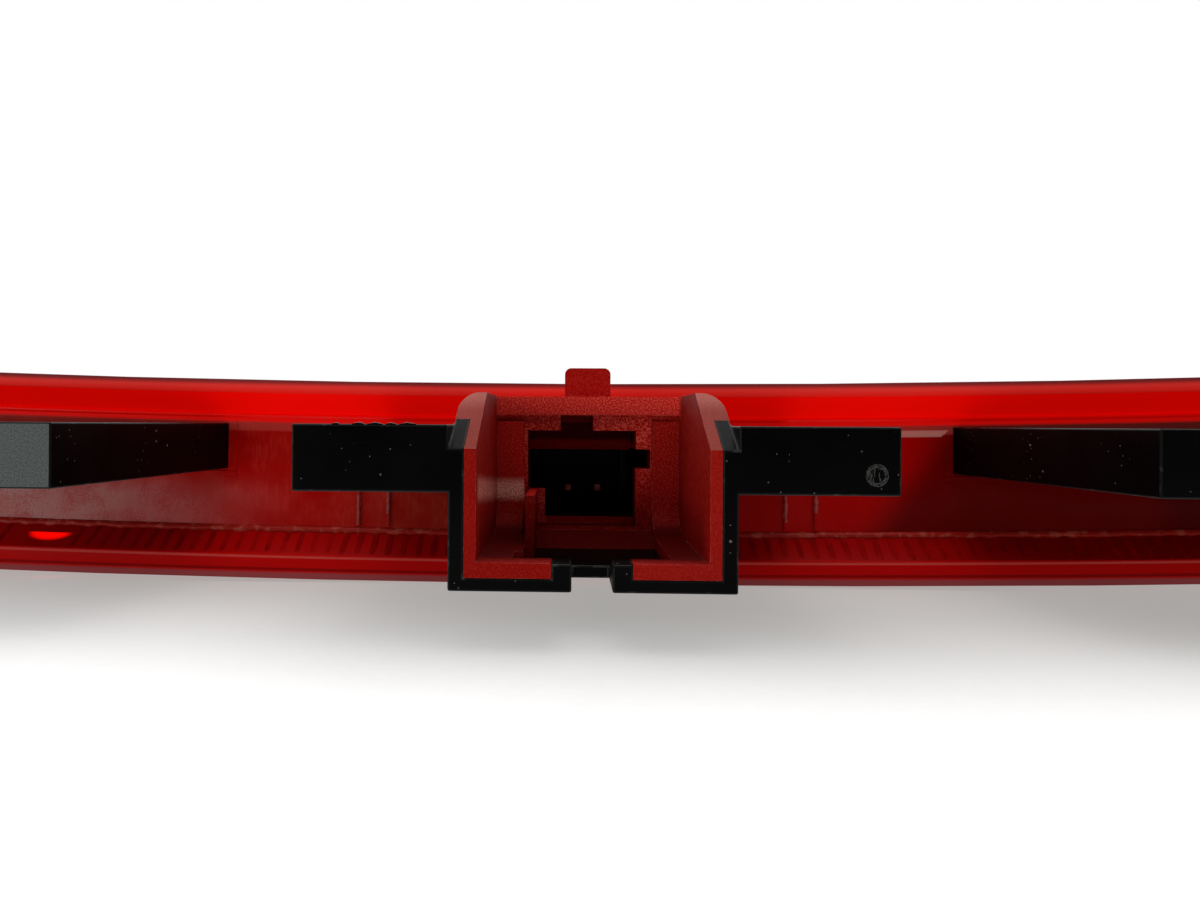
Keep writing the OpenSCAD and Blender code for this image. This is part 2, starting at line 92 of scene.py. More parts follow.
class Look:
    """A node material with its Principled shader."""

    def __init__(self, name, **sockets):
        self.material = bpy.data.materials.new(name)
        self.material.use_nodes = True
        self.tree = self.material.node_tree
        self.shader = self.tree.nodes["Principled BSDF"]
        self.place = self.node("ShaderNodeTexCoord").outputs["Object"]
        for socket, value in sockets.items():
            self.set(socket.replace("_", " "), value)

    def node(self, kind, inputs=None, **settings):
        made = self.tree.nodes.new(kind)
        for setting, value in settings.items():
            setattr(made, setting, value)
        for key, value in (inputs or {}).items():
            self.feed(made.inputs[key], value)
        return made

    def feed(self, socket, value):
        if isinstance(value, bpy.types.NodeSocket):
            self.tree.links.new(value, socket)
        else:
            socket.default_value = value

    def set(self, socket, value):
        if isinstance(value, tuple) and len(value) == 3:
            value = (*value, 1)
        self.feed(self.shader.inputs[socket], value)

    def math(self, operation, a, b=0.0):
        made = self.node("ShaderNodeMath", {0: a, 1: b}, operation=operation)
        return made.outputs[0]

    def noise(self, size, detail=2.0, stretch=(1, 1, 1), roughness=0.5):
        """Noise whose features are about size millimetres across."""
        place = self.node("ShaderNodeMapping", {"Vector": self.place, "Scale": stretch})
        made = self.node("ShaderNodeTexNoise", {
            "Vector": place.outputs[0], "Scale": 1 / (size * MM),
            "Detail": detail, "Roughness": roughness})
        return made.outputs["Fac"]

    def ramp(self, value, low, high, start=0.0, end=1.0):
        made = self.node("ShaderNodeMapRange", {
            "Value": value, "From Min": low, "From Max": high,
            "To Min": start, "To Max": end}, interpolation_type="SMOOTHSTEP")
        return made.outputs[0]

    def mix(self, amount, first, second):
        made = self.node("ShaderNodeMix", data_type="RGBA")
        self.feed(made.inputs[0], amount)
        for index, colour in ((6, first), (7, second)):
            if isinstance(colour, tuple):
                colour = (*colour, 1)
            self.feed(made.inputs[index], colour)
        return made.outputs[2]

    def bump(self, height, depth, strength=1.0, under=None):
        """Bump of about depth millimetres."""
        inputs = {"Height": height, "Distance": depth * MM, "Strength": strength}
        if under is not None:
            inputs["Normal"] = under
        return self.node("ShaderNodeBump", inputs).outputs[0]

    def axis(self, name):
        split = self.node("ShaderNodeSeparateXYZ", {0: self.place})
        return split.outputs[name]

    def height(self):
        """Height above the lamp's own arched line, in metres."""
        squared = self.math("POWER", self.math("ABSOLUTE", self.axis("X")), 2.0)
        return self.math("SUBTRACT", self.axis("Z"), self.math("MULTIPLY", squared, 0.5 / ARCH_RADIUS))

    def depth(self):
        """Depth in the lamp's section, in metres, on its own line set back towards the ends."""
        squared = self.math("POWER", self.math("ABSOLUTE", self.axis("X")), 2.0)
        plan = self.math("MULTIPLY", squared, 0.5 / PLAN_RADIUS)
        return self.math("SUBTRACT", self.math("ADD", self.axis("Y"), plan), SEAT_TO_BACK)

    def band(self, value, low, high, soft):
        """1 between low and high, falling to 0 over soft outside them."""
        rise = self.ramp(value, low - soft, low)
        return self.math("MULTIPLY", rise, self.ramp(value, high, high + soft, 1.0, 0.0))

    def speckle(self, size, share, seed=0.0):
        """Sparse dots, 1 inside a dot."""
        shifted = self.node("ShaderNodeMapping", {"Vector": self.place, "Location": (seed, seed, seed)})
        made = self.node("ShaderNodeTexVoronoi", {"Vector": shifted.outputs[0], "Scale": 1 / (size * MM)})
        dot = self.ramp(made.outputs["Distance"], 0.12, 0.2, 1, 0)
        keep = self.node("ShaderNodeSeparateColor", {0: made.outputs["Color"]}).outputs[0]
        return self.math("MULTIPLY", dot, self.math("LESS_THAN", keep, share))


# ---- materials --------------------------------------------------------------

# marks painted by their place on the lamp, in millimetres: the spot is a painted glint on the lower skirt,
# the sheen a painted highlight, the shadow slope that of the right fin's painted shadow, the ring an ejector
# mark
SPOT_X = -47.0
SPOT_Y = -0.97
SPOT_WIDTH = 2.0
SPOT_DEPTH = 0.88
SPOT_CLEAR = 2.4
SHEEN_SLOPE = 0.075
SHEEN_BACK = 66.7
SHADOW_SLOPE = 0.644
RING_X = 16.4
RING_Z = -2.8


def plate_colour(look):
    """Polished back plate: painted light and shade across it, a painted reflection of the floor whitening
    its low part towards the left end, the fin's painted shadow on the right and painted highlights along its
    top.
    """
    clouds = look.noise(2.4, 3)
    streaks = look.noise(0.35, 3, (1.6, 1, 0.3))
    fine = look.noise(0.12, 2)
    along = look.axis("X")
    height = look.height()
    haze = look.math("MULTIPLY", look.ramp(clouds, 0.35, 0.7), look.ramp(streaks, 0.35, 0.75, 0.3, 1))
    # painted light and shade: the plate is darker beside the shroud on the left, and a brighter, purer red
    # with less of the pale haze on the right
    inner = look.ramp(look.math("ABSOLUTE", along), 10 * MM, 28 * MM, 1.0, 0.0)
    dark = look.mix(inner, (0.40, 0.002, 0.001), (0.26, 0.008, 0.004))
    light = look.mix(inner, (0.50, 0.020, 0.014), (0.33, 0.026, 0.015))
    right = look.ramp(along, -5 * MM, 8 * MM)
    red = look.mix(right, dark, (0.40, 0.0008, 0.0006))
    light = look.mix(look.math("MULTIPLY", right, 0.8), light, red)
    plate = look.mix(haze, red, light)
    # the right outer fin keeps the light off the plate beside it
    slant = look.math("SUBTRACT", along, look.math("MULTIPLY", height, SHADOW_SLOPE))
    shadow = look.ramp(slant, 28.6 * MM, 33.4 * MM, 0.0, 0.72)
    shadow = look.math("MAXIMUM", shadow, look.ramp(along, 36 * MM, 52 * MM, 0.0, 0.86))
    shadow = look.math("MULTIPLY", shadow, look.ramp(along, 62 * MM, 90 * MM, 1.0, 0.0))
    plate = look.mix(shadow, plate, (0.03, 0.0, 0.0))
    # a painted reflection of the bright floor whitens the low part more and more towards the left end,
    # mottled
    left = look.math("MULTIPLY", look.ramp(along, -54 * MM, -24 * MM, 1.0, 0.0),
                     look.ramp(along, -100 * MM, -70 * MM))
    low = look.ramp(height, -7 * MM, -4.2 * MM, 1.0, 0.0)
    mixed = look.math("ADD", look.math("MULTIPLY", clouds, 0.5), look.math("MULTIPLY", fine, 0.5))
    mottle = look.ramp(mixed, 0.36, 0.62, 0.4, 1)
    floor_reflection = look.math("MULTIPLY", look.math("MULTIPLY", left, low), mottle)
    plate = look.mix(floor_reflection, plate, (0.44, 0.24, 0.225))
    # a painted highlight lies along the rounded top edge, below the line where the skirt's light reaches it
    edge = look.band(height, -0.75 * MM, -0.1 * MM, 0.25 * MM)
    plate = look.mix(look.math("MULTIPLY", edge, 0.4), plate, (0.62, 0.10, 0.08))
    # a painted glint: a pale bar on the plate's top edge beside the right outer fin
    glint_bar = look.math("MULTIPLY", look.band(height, -1.0 * MM, -0.6 * MM, 0.15 * MM),
                    look.band(look.math("SUBTRACT", along, height), 27.6 * MM, 31.6 * MM, 0.25 * MM))
    return look.mix(glint_bar, plate, (0.62, 0.26, 0.22))


def shroud_colour(look, grain):
    """Spark-eroded shroud and connector block: pale where it faces the light, dark where it is deep."""
    speckled = look.ramp(grain, 0.40, 0.68)
    facing = look.node("ShaderNodeTexCoord").outputs["Normal"]
    normal = look.node("ShaderNodeSeparateXYZ", {0: facing}).outputs
    along, across, up = (look.axis(name) for name in "XYZ")
    rough = look.mix(speckled, (0.21, 0.0006, 0.0004), (0.39, 0.019, 0.012))
    # the block's middle face, painted lit: paler, more so to the right and higher up
    face = look.math("MULTIPLY", look.band(across, -2.2 * MM, -1.6 * MM, 0.1 * MM),
                     look.math("LESS_THAN", look.math("ABSOLUTE", along), 4.8 * MM))
    face = look.math("MULTIPLY", face, look.ramp(up, -6 * MM, -1 * MM))
    # a painted highlight on the step inside the cavity's left edge
    step = look.math("MULTIPLY", look.band(across, 0.5 * MM, 0.7 * MM, 0.05 * MM),
                     look.math("LESS_THAN", along, -3.2 * MM))
    face = look.math("MAXIMUM", face, look.math("MULTIPLY", step, 1.6))
    pale = look.mix(speckled, (0.41, 0.005, 0.003), (0.74, 0.09, 0.066))
    rough = look.mix(look.math("MULTIPLY", face, look.ramp(along, -5 * MM, 4 * MM, 0.55, 1.0)), rough, pale)
    # the lintel and the tab are the palest: painted light from above, brighter to the right
    high = look.math("MULTIPLY", look.ramp(up, 0.4 * MM, 0.9 * MM),
                     look.band(across, -3.2 * MM, 3 * MM, 0.3 * MM))
    palest_lit_red = look.mix(speckled, (0.53, 0.009, 0.005), (0.80, 0.088, 0.067))
    rough = look.mix(look.math("MULTIPLY", high, look.ramp(along, -8 * MM, 4 * MM, 0.7, 1.0)), rough, palest_lit_red)
    tab = look.math("MULTIPLY", look.ramp(up, 2.16 * MM, 2.3 * MM),
                    look.math("LESS_THAN", look.math("ABSOLUTE", along), 2 * MM))
    rough = look.mix(look.math("MULTIPLY", tab, 0.8), rough, (0.34, 0.002, 0.0008))
    # the guide rib, painted darker in its upper part: painted shade
    rib = look.math("MULTIPLY", look.band(along, -4.4 * MM, -3.7 * MM, 0.03 * MM),
                    look.band(across, -9.1 * MM, -8.9 * MM, 0.05 * MM))
    rib = look.math("MULTIPLY", rib, look.ramp(up, -8 * MM, -5 * MM, 0.0, 0.5))
    rough = look.mix(rib, rough, (0.06, 0.0, 0.0))
    # painted shade: the side walls, the mouth's edging (darker on its left part) and all that faces upwards
    # low down are darkened
    side = look.ramp(look.math("ABSOLUTE", normal["X"]), 0.6, 0.9)
    rough = look.mix(look.math("MULTIPLY", side, 0.42), rough, (0.01, 0.0, 0.0))
    mouth = look.math("LESS_THAN", across, -16.9 * MM)
    edging = look.mix(look.ramp(along, -9 * MM, 9 * MM), (0.21, 0.004, 0.002), (0.27, 0.008, 0.005))
    rough = look.mix(look.math("MULTIPLY", mouth, 0.65), rough, edging)
    # the tops of the walls and the slanted ends below them are painted pale: painted light from above,
    # grained
    lit_tops = look.math("MULTIPLY", look.ramp(normal["Z"], 0.25, 0.4),
                       look.math("GREATER_THAN", up, -1.5 * MM))
    lit_tops = look.math("MULTIPLY", lit_tops, look.math("LESS_THAN", across, -3.4 * MM))
    lit_tops_red = look.mix(look.ramp(up, 0.8 * MM, 2.0 * MM), (0.25, 0.052, 0.041), (0.38, 0.12, 0.098))
    rough = look.mix(look.math("MULTIPLY", lit_tops, look.ramp(grain, 0.3, 0.7, 0.7, 1.0)), rough, lit_tops_red)
    # less light reaches the low and the level parts
    low = look.ramp(up, -4 * MM, -7.6 * MM, 0.0, 0.5)
    low = look.math("MULTIPLY", low, look.ramp(across, -16.5 * MM, -13 * MM))
    rough = look.mix(low, rough, (0.03, 0.0, 0.0))
    level = look.math("MULTIPLY", look.ramp(normal["Z"], 0.6, 0.9), look.math("LESS_THAN", up, -5 * MM))
    level = look.math("MULTIPLY", level, look.ramp(across, -16.9 * MM, -14.5 * MM, 0.25, 0.8))
    rough = look.mix(level, rough, (0.03, 0.0, 0.0))
    # a painted sheen (painted highlight) lies across the left wall and pad
    rise = look.math("MULTIPLY", look.math("ADD", across, SHEEN_BACK * MM), SHEEN_SLOPE)
    slant = look.math("ADD", up, rise)
    sheen = look.math("MULTIPLY", look.band(slant, -0.3 * MM, 0.2 * MM, 0.8 * MM),
                      look.math("LESS_THAN", along, -4.8 * MM))
    sheen = look.math("MULTIPLY", sheen, look.ramp(across, -16.8 * MM, -15 * MM))
    sheen = look.math("MULTIPLY", sheen, look.ramp(grain, 0.3, 0.7, 0.25, 1.0))
    sheen = look.math("MULTIPLY", sheen, look.ramp(side, 0, 1, 1.0, 0.42))
    return look.mix(sheen, rough, (0.72, 0.30, 0.24))


def red_housing():
    look = Look("moulded_red")
    # the shroud is spark-eroded, and the plate behind it is polished
    near_middle = look.math("LESS_THAN", look.math("ABSOLUTE", look.axis("X")), 8.6 * MM)
    eroded = look.math("MULTIPLY", near_middle,
                       look.math("LESS_THAN", look.axis("Y"), SEAT_TO_BACK - 1.0 * MM))
    grain = look.noise(0.115, 3)
    # painted light: the plate's top lip is paler red and glows a little
    lit = look.ramp(look.height(), -0.25 * MM, 0.05 * MM)
    plate = look.mix(look.math("MULTIPLY", lit, 0.9), plate_colour(look), (0.55, 0.004, 0.003))
    body = look.mix(eroded, plate, shroud_colour(look, grain))
    # no light reaches the end of the connector cavity, and little its ceiling
    cavity = look.math("MULTIPLY", near_middle, look.ramp(look.axis("Y"), 0.8 * MM, 1.3 * MM))
    cavity = look.math("MULTIPLY", cavity, look.band(look.axis("Z"), -9 * MM, 0.2 * MM, 0.1 * MM))
    ceiling = look.math("MULTIPLY", look.math("GREATER_THAN", look.axis("Z"), -2.02 * MM),
                        look.math("LESS_THAN", look.axis("Y"), 5 * MM))
    ceiling_red = look.mix(look.ramp(look.axis("Z"), -1.4 * MM, -1.0 * MM),
                           (0.34, 0.006, 0.004), (0.09, 0.001, 0.001))
    depths = look.mix(ceiling, (0.006, 0.0, 0.0), ceiling_red)
    look.set("Base Color", look.mix(cavity, body, depths))
    look.set("Roughness", look.ramp(eroded, 0, 1, 0.24, 0.5))
    look.set("Specular IOR Level", 0.02)
    # the painted glow of the plate's top lip
    look.set("Emission Color", (1.0, 0.006, 0.004))
    away = look.math("SUBTRACT", 1.0, look.math("MAXIMUM", eroded, cavity))
    look.set("Emission Strength", look.math("MULTIPLY", look.math("MULTIPLY", lit, away), 0.3))
    swirl = look.bump(look.noise(3.5, 1), 0.008, 0.5)
    flow = look.bump(look.noise(0.5, 2, (0.25, 1, 1)), 0.002, 0.5, swirl)
    look.set("Normal", look.bump(look.math("MULTIPLY", grain, eroded), 0.04, 0.6, flow))
    return look.material


def lens_red():
    look = Look("clear_red", IOR=1.57)
    # clear over the crown, and full-bodied in the skirt that is welded to the housing
    crown = look.ramp(look.depth(), 0.5 * MM, 3 * MM)
    height = look.height()
    upper = look.ramp(height, -3 * MM, 0 * MM)
    flow = look.ramp(look.noise(6, 2), 0.3, 0.7)
    full = look.mix(flow, (0.70, 0.001, 0.0006), (0.76, 0.002, 0.001))
    # painted shade: the lower skirt takes the darker shaded red, darker still to the right
    shaded = look.mix(flow, (0.36, 0.0005, 0.0004), (0.42, 0.001, 0.0008))
    right = look.math("MULTIPLY", look.ramp(look.axis("X"), 10 * MM, 55 * MM, 0.0, 0.55),
                      look.ramp(look.axis("X"), 62 * MM, 90 * MM, 1.0, 0.0))
    shaded = look.mix(right, shaded, (0.12, 0.0004, 0.0004))
    back = look.math("SUBTRACT", 1.0, look.ramp(look.depth(), 0.5 * MM, 3 * MM))
    body = look.mix(look.math("MULTIPLY", back, look.ramp(upper, 0, 1, 1.0, 0.0)), full, shaded)
    # the rim's flat lip is matt: painted brighter on its upper run and pinker near its top, with a painted
    # highlight line along its lower run, a dark groove line and a paler bottom edge; its top corner is
    # darker
    lip = look.ramp(look.depth(), RIM_Y * MM + 0.12 * MM, RIM_Y * MM + 0.02 * MM, 0.0, 1.0)
    corner = look.ramp(height, 2.95 * MM, 3.4 * MM)
    fading = look.mix(look.ramp(height, 2.5 * MM, 3.0 * MM), (0.64, 0.008, 0.004), (0.60, 0.036, 0.029))
    lip_tint = look.mix(upper, (0.52, 0.001, 0.001), fading)
    # a painted highlight along the inner edge of the lower lip
    bright = look.band(height, -11.7 * MM, -11.56 * MM, 0.06 * MM)
    lip_tint = look.mix(look.math("MULTIPLY", bright, 0.6), lip_tint, (0.66, 0.09, 0.075))
    groove = look.band(height, -12.75 * MM, -12.6 * MM, 0.08 * MM)
    lip_tint = look.mix(look.math("MULTIPLY", groove, 0.6), lip_tint, (0.12, 0.0, 0.0))
    bottom = look.ramp(height, -12.8 * MM, -13.1 * MM)
    lip_tint = look.mix(bottom, lip_tint, (0.36, 0.06, 0.065))
    body = look.mix(lip, body, lip_tint)
    off_crown = look.math("SUBTRACT", 1.0, crown)
    body = look.mix(look.math("MULTIPLY", corner, off_crown), body, (0.26, 0.03, 0.03))
    look.set("Base Color", body)
    look.set("Transmission Weight", look.ramp(crown, 0, 1, 0.0, 0.85))
    look.set("Roughness", look.ramp(crown, 0, 1, 0.4, 0.04))
    look.set("Specular IOR Level", look.ramp(crown, 0, 1, 0.03, 0.5))
    # painted glow: the upper skirt and upper lip glow red, standing in for light gathered by the crown
    # leaving through the upper skirt, and a painted glint glows at the spot on the lower skirt
    wall = look.math("MULTIPLY", upper, look.math("SUBTRACT", 1.0, look.math("MAXIMUM", lip, crown)))
    wall = look.math("MULTIPLY", wall, look.math("SUBTRACT", 1.0, corner))
    across = look.math("SUBTRACT", look.axis("X"), SPOT_X * MM)
    inward = look.math("ADD", look.depth(), -SPOT_Y * MM)
    across_share = look.math("ABSOLUTE", look.math("DIVIDE", across, SPOT_WIDTH * MM))
    inward_share = look.math("ABSOLUTE", look.math("DIVIDE", inward, SPOT_DEPTH * MM))
    spot = look.math("ADD", look.math("POWER", across_share, 2.0), look.math("POWER", inward_share, 2.0))
    spot = look.math("MULTIPLY", look.ramp(spot, 0.35, 1.1, 1.0, 0.0), look.math("LESS_THAN", inward, 0.0))
    spot = look.math("MULTIPLY", spot, look.math("LESS_THAN", look.height(), -5 * MM))
    glow = look.math("ADD", look.math("MULTIPLY", wall, 0.42), look.math("MULTIPLY", spot, 0.9))
    rim = look.math("MULTIPLY", look.math("MULTIPLY", upper, lip), look.math("SUBTRACT", 1.0, corner))
    glow = look.math("ADD", glow, look.math("MULTIPLY", rim, 0.26))
    look.set("Emission Color", look.mix(rim, (1.0, 0.002, 0.0), (1.0, 0.026, 0.02)))
    look.set("Emission Strength", glow)
    look.set("Normal", look.bump(look.noise(1.6, 2), 0.006, 0.4))
    return look.material


def black_plastic():
    look = Look("moulded_black", Specular_IOR_Level=0.035)
    dust = look.math("MAXIMUM", look.speckle(0.5, 0.04), look.speckle(0.24, 0.05, 0.37))
    body = look.mix(dust, (0.0007, 0.0007, 0.0008), (0.12, 0.115, 0.105))
    # the rear face of the left outer fin is painted grey with grain: a painted reflection of the light from
    # the left
    left_fin_glare = look.math("MULTIPLY", look.math("LESS_THAN", look.axis("X"), -31.5 * MM),
                        look.math("LESS_THAN", look.axis("Y"), (REAR_Y + 0.05) * MM + SEAT_TO_BACK))
    grain = look.ramp(look.noise(0.1, 3), 0.35, 0.65)
    body = look.mix(left_fin_glare, body, look.mix(grain, (0.055, 0.064, 0.060), (0.098, 0.108, 0.102)))
    # an ejector left a pale ring, with scratches in it, at the end of the right inner fin
    across = look.math("SUBTRACT", look.axis("X"), RING_X * MM)
    up = look.math("ADD", look.axis("Z"), -RING_Z * MM)
    squared = look.math("ADD", look.math("MULTIPLY", across, across), look.math("MULTIPLY", up, up))
    radius = look.math("SQRT", squared)
    ring = look.math("MULTIPLY", look.band(radius, 0.46 * MM, 0.64 * MM, 0.03 * MM),
                     look.ramp(grain, 0.2, 0.7, 0.2, 1))
    marks = look.math("MULTIPLY", look.ramp(radius, 0.4 * MM, 0.45 * MM, 1.0, 0.0),
                      look.ramp(look.noise(0.12, 2, (1, 1, 0.3)), 0.55, 0.62))
    ring = look.math("MAXIMUM", ring, look.math("MULTIPLY", marks, 0.6))
    on_face = look.math("LESS_THAN", look.axis("Y"), -16 * MM)
    body = look.mix(look.math("MULTIPLY", ring, on_face), body, (0.07, 0.07, 0.066))
    look.set("Base Color", body)
    look.set("Roughness", look.ramp(look.noise(3.0, 3), 0.3, 0.7, 0.26, 0.4))
    skin = look.bump(look.noise(0.09, 2), 0.003, 0.5)
    scratches = look.ramp(look.noise(0.5, 3, (0.12, 1, 2.2)), 0.62, 0.68)
    look.set("Normal", look.bump(scratches, 0.006, 0.35, skin))
    return look.material


def weld_red():
    look = Look("welded_red", Roughness=0.35)
    # the lower run is ragged and pale where it has whitened; the upper one is painted the lens's bright red
    # and glows: painted light
    lower = look.ramp(look.height(), -4 * MM, -6 * MM)
    ragged = look.mix(look.ramp(look.noise(0.7, 3), 0.5, 0.62), (0.32, 0.009, 0.005), (0.40, 0.05, 0.03))
    look.set("Base Color", look.mix(lower, (0.7, 0.002, 0.001), ragged))
    look.set("Specular IOR Level", 0.15)
    look.set("Emission Color", (1.0, 0.002, 0.0))
    look.set("Emission Strength", look.ramp(lower, 0, 1, 0.25, 0))
    look.set("Normal", look.bump(look.noise(0.2, 3), 0.03, 0.7))
    return look.material


def flute_red():
    look = Look("fluted_red", Roughness=0.35, Specular_IOR_Level=0.04)
    # painted shade: the flutes are darker still than the lower skirt's shaded red
    clouds = look.ramp(look.noise(1.5, 2), 0.3, 0.7)
    look.set("Base Color", look.mix(clouds, (0.23, 0.0005, 0.0003), (0.34, 0.001, 0.0008)))
    look.set("Normal", look.bump(look.noise(0.3, 2), 0.006, 0.5))
    return look.material


def metal(name, colour, rough):
    look = Look(name, Metallic=1.0)
    tarnish = tuple(c * 0.8 for c in colour)
    look.set("Base Color", look.mix(look.ramp(look.noise(0.8, 3), 0.3, 0.7), colour, tarnish))
    look.set("Roughness", look.ramp(look.noise(0.4, 3), 0.3, 0.7, rough, rough + 0.15))
    look.set("Normal", look.bump(look.noise(0.12, 3), 0.006, 0.5))
    return look.material


def plain(name, colour, shade, rough, grain=0.2, **sockets):
    look = Look(name, **sockets)
    look.set("Base Color", look.mix(look.ramp(look.noise(grain * 4, 3), 0.3, 0.7), colour, shade))
    look.set("Roughness", look.ramp(look.noise(grain * 8, 2), 0.3, 0.7, rough, rough + 0.12))
    look.set("Normal", look.bump(look.noise(grain, 2), 0.006, 0.5))
    return look.material


LOOKS = {
    "clear_red_lens": lens_red(),
    "red_housing": red_housing(),
    "weld_red": weld_red(),
    "black_plastic": black_plastic(),
    "header_black": plain("header_black", (0.0015, 0.0015, 0.0015), (0.003, 0.003, 0.003), 0.5,
                          Specular_IOR_Level=0.1),
    # the pins are painted dark red: painted shade of the cavity, with the walls' red painted in as
    # reflection
    "tinned_metal": metal("tinned_metal", (0.15, 0.035, 0.03), 0.3),
    "board": plain("solder_mask", (0.01, 0.10, 0.035), (0.015, 0.13, 0.05), 0.25),
    "reflector_plating": metal("aluminised", (0.86, 0.87, 0.88), 0.08),
    "zinc_steel": metal("zinc_steel", (0.66, 0.66, 0.62), 0.25),
    "component_body": plain("component_body", (0.02, 0.02, 0.022), (0.03, 0.03, 0.032), 0.4),
    "capacitor_body": plain("capacitor_body", (0.33, 0.2, 0.1), (0.4, 0.26, 0.14), 0.5),
    "membrane": plain("membrane", (0.75, 0.75, 0.72), (0.62, 0.62, 0.6), 0.8),
    "led_package": plain("led_package", (0.8, 0.79, 0.74), (0.7, 0.69, 0.64), 0.4),
}


def dress(piece, slot):
    piece.data.materials.clear()
    piece.data.materials.append(LOOKS[slot])


for subpart in frame["record"]["subparts"]:
    dress(nodes[subpart["node"]], subpart["material_slot"])
SLOT_OF = {subpart["node"]: subpart["material_slot"] for subpart in frame["record"]["subparts"]}


def sharp_edges(shape, angle, shortest):
    """Edges of at least the shortest length that turn by more than the angle, outward or inward."""
    return [edge for edge in shape.edges if len(edge.link_faces) == 2 and edge.calc_length() > shortest
            and edge.calc_face_angle() > angle]


def edge_wear_and_glint(name, colour, wear_and_glint_colour, share, **sockets):
    """An edge that is paler only in patches: wear on the black edges, a painted highlight on the red ones.
    """
    look = Look(name, Roughness=0.45, **sockets)
    patches = look.ramp(look.noise(0.9, 4), 0.68 - share, 0.78 - share)
    look.set("Base Color", look.mix(patches, colour, wear_and_glint_colour))
    look.set("Normal", look.bump(look.noise(0.2, 2), 0.006, 0.5))
    return look.material


EDGE_WEAR_AND_GLINT = {
    "black_plastic": edge_wear_and_glint("worn_black", (0.002, 0.002, 0.002), (0.022, 0.022, 0.021), 0.1,
                          Specular_IOR_Level=0.1),
    # painted highlight: the red edges are pale in patches where glints would catch them
    "red_housing": edge_wear_and_glint("red_edge_glint", (0.56, 0.13, 0.095), (0.92, 0.52, 0.42), 0.26,
                        Specular_IOR_Level=0.15),
}


def rounded(node, width, shortest=0.3, flat=False):
    """A copy of a CAD node with its sharp edges rounded, standing for that node."""
    shape = bmesh.new()
    shape.from_mesh(nodes[node].data)
    shape.transform(nodes[node].matrix_world)
    bmesh.ops.remove_doubles(shape, verts=shape.verts, dist=5e-6)
    bmesh.ops.dissolve_limit(shape, angle_limit=math.radians(0.2), verts=shape.verts, edges=shape.edges)
    sharp = sharp_edges(shape, math.radians(35), shortest * MM)
    bmesh.ops.bevel(shape, geom=sharp, offset=width * MM, offset_type="OFFSET", segments=2, profile=0.5,
                    affect="EDGES", clamp_overlap=True, material=1 if SLOT_OF[node] in EDGE_WEAR_AND_GLINT else -1)
    bmesh.ops.triangulate(shape, faces=[face for face in shape.faces if len(face.verts) > 4])
    bmesh.ops.recalc_face_normals(shape, faces=shape.faces)
    for face in shape.faces:
        face.smooth = not flat
    for edge in shape.edges:
        edge.smooth = len(edge.link_faces) == 2 and edge.calc_face_angle() < math.radians(25)
    mesh = bpy.data.meshes.new(node + "_rounded")
    shape.to_mesh(mesh)
    shape.free()
    made = bpy.data.objects.new(node + "_rounded", mesh)
    scene.collection.objects.link(made)
    mesh.materials.append(LOOKS[SLOT_OF[node]])
    if SLOT_OF[node] in EDGE_WEAR_AND_GLINT:
        mesh.materials.append(EDGE_WEAR_AND_GLINT[SLOT_OF[node]])
    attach(made, "root")
    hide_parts(node)
    return made


rounded("black_shell", 0.12, 0.5, flat=True)
rounded("outer_fin_left", 0.1, flat=True)
rounded("outer_fin_right", 0.1, flat=True)
rounded("rear_housing", 0.09, 0.35)
rounded("outer_lens", 0.25, 0.5)
rounded("pin_header", 0.08, flat=True)
rounded("terminal_pin_left", 0.08, flat=True)
rounded("terminal_pin_right", 0.08, flat=True)

# ---- new pieces -------------------------------------------------------------

def piece(name, verts, faces, slot, look=None, smooth=False):
    """A closed mesh that rides with the lamp."""
    mesh = bpy.data.meshes.new(name)
    mesh.from_pydata([tuple(v) for v in verts], [], faces)
    shape = bmesh.new()
    shape.from_mesh(mesh)
    bmesh.ops.remove_doubles(shape, verts=shape.verts, dist=1e-7)
    bmesh.ops.recalc_face_normals(shape, faces=shape.faces)
    shape.to_mesh(mesh)
    shape.free()
    made = bpy.data.objects.new(name, mesh)
    scene.collection.objects.link(made)
    mesh.materials.append(look or LOOKS[slot])
    if smooth:
        mesh.shade_smooth()
    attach(made, "root")
    return made


def tube(rings, closed=False):
    """Verts and faces that join rings of points; the ends are capped unless the tube closes on itself."""
    count = len(rings[0])
    verts = [point for ring in rings for point in ring]
    faces = []
    spans = len(rings) if closed else len(rings) - 1
    for ring in range(spans):
        first = ring * count
        second = (ring + 1) % len(rings) * count
        for side in range(count):
            after = (side + 1) % count
            faces.append((first + side, first + after, second + after, second + side))
    if not closed:
        faces.append(tuple(range(count)))
        faces.append(tuple(range(len(verts) - count, len(verts))))
    return verts, faces


def joined(parts):
    """One set of verts and faces from several."""
    verts, faces = [], []
    for more_verts, more_faces in parts:
        start = len(verts)
        verts += more_verts
        faces += [tuple(start + index for index in face) for face in more_faces]
    return verts, faces


def ragged(place, size):
    """Repeatable noise from -1 to 1."""
    return noise.noise(Vector(place) / size)


BEAD_STEP = 0.5
BEAD_END = 174.9
BEAD_OUT = 0.35


